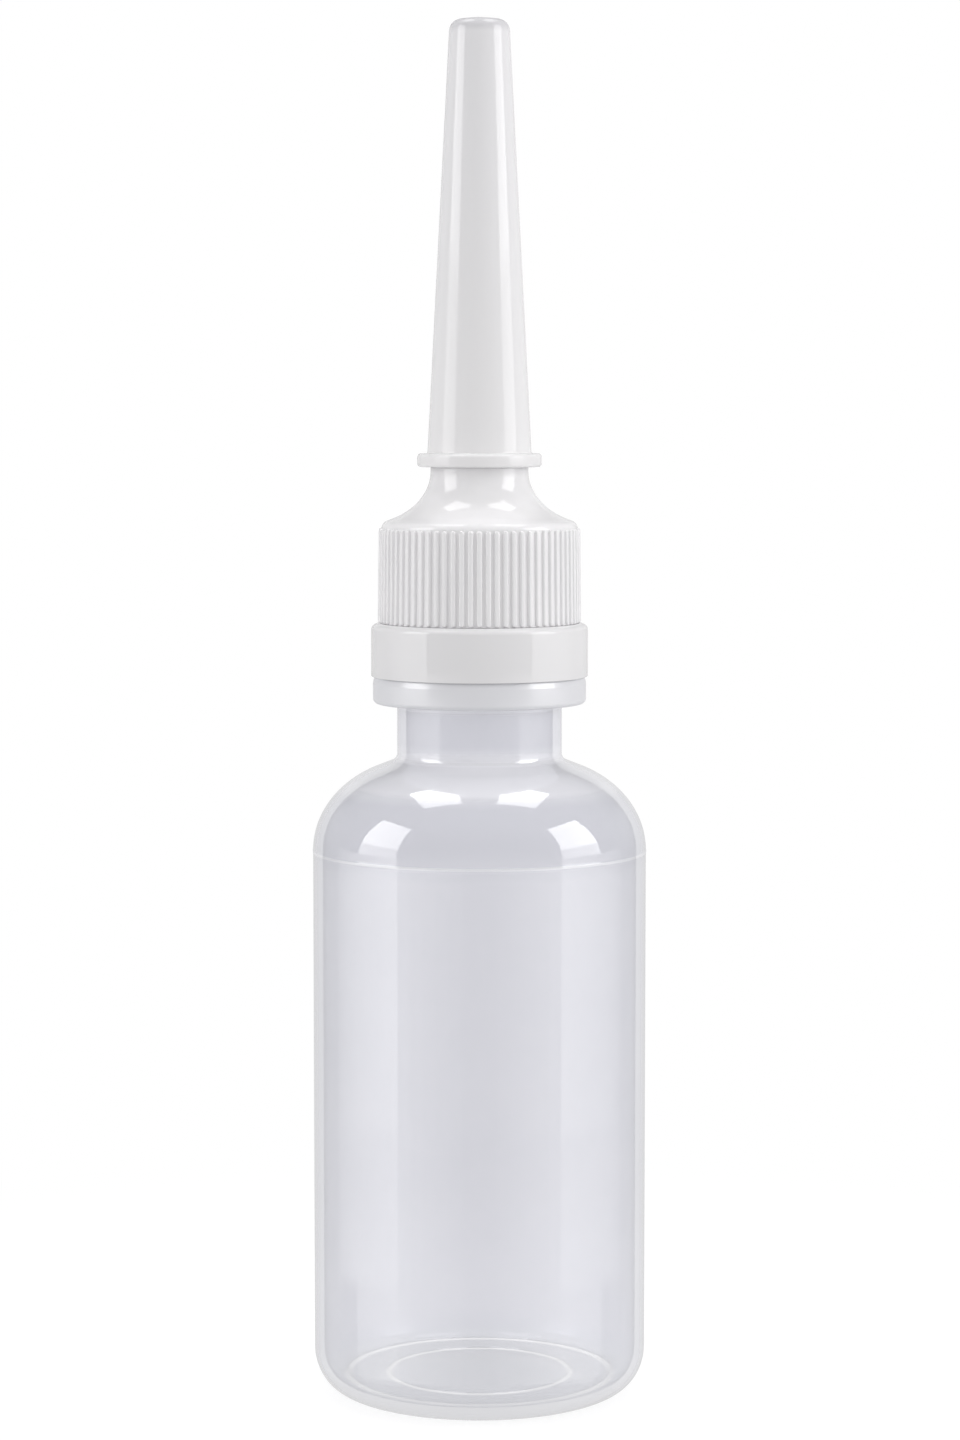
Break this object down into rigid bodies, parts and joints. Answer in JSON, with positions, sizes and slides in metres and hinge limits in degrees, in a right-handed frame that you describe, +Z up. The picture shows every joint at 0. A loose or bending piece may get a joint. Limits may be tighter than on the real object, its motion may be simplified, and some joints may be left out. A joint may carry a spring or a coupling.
{
  "type": "enema bottle",
  "caption": "Tall squeeze bottle for giving an enema: see-through round body, ribbed screw cap with tamper band, nozzle with a one-way valve and a tapered pull-off cover.",
  "frame": {"origin": "centre of the ring the bottle stands on, on the floor plane", "axes": "+Z up along the bottle's axis, towards the tip of the nozzle cover"},
  "size_m": [0.0462, 0.0462, 0.1893],
  "materials": {
    "natural_ldpe": "smooth, see-through, slightly milky",
    "white_pp": "smooth white",
    "white_ldpe": "smooth white",
    "nozzle_ldpe": "smooth",
    "silicone": "satin, milky",
    "seat_pp": "satin",
    "foam_pe": "fine foam"
  },
  "bodies": {
    "bottle": {"bottle": "natural_ldpe"},
    "washer": {"sealing_washer": "foam_pe"},
    "cap": {"screw_cap": "white_pp", "nozzle": "nozzle_ldpe", "valve_washer": "silicone", "valve_seat": "seat_pp"},
    "cover": {"nozzle_cover": "white_ldpe"},
    "band": {"tamper_band": "white_pp"},
    "flap": {"valve_flap": "silicone"}
  },
  "joints": [
    {"name": "cap_lift", "type": "slide", "parent": "bottle", "child": "washer", "axis": [0, 0, 1], "range_m": [0, 0.00481]},
    {"name": "cap_turn", "type": "hinge", "parent": "washer", "child": "cap", "pos_m": [0, 0, 0.112], "axis": [0, 0, 1], "range_deg": [0, 540]},
    {"name": "cover_pull", "type": "slide", "parent": "cap", "child": "cover", "axis": [0, 0, 1], "range_m": [0, 0.056]},
    {"name": "band_turn", "type": "hinge", "parent": "bottle", "child": "band", "pos_m": [0, 0, 0.103], "axis": [0, 0, 1], "continuous": true},
    {"name": "flap_swing", "type": "hinge", "parent": "cap", "child": "flap", "pos_m": [-0.0031, 0, 0.1209], "axis": [0, -1, 0], "range_deg": [0, 45], "stiffness_Nm_per_rad": 0.00005}
  ],
  "couplings": [
    {"joint": "cap_lift", "follows": "cap_turn", "m_per_rad": 0.0005093}
  ]
}
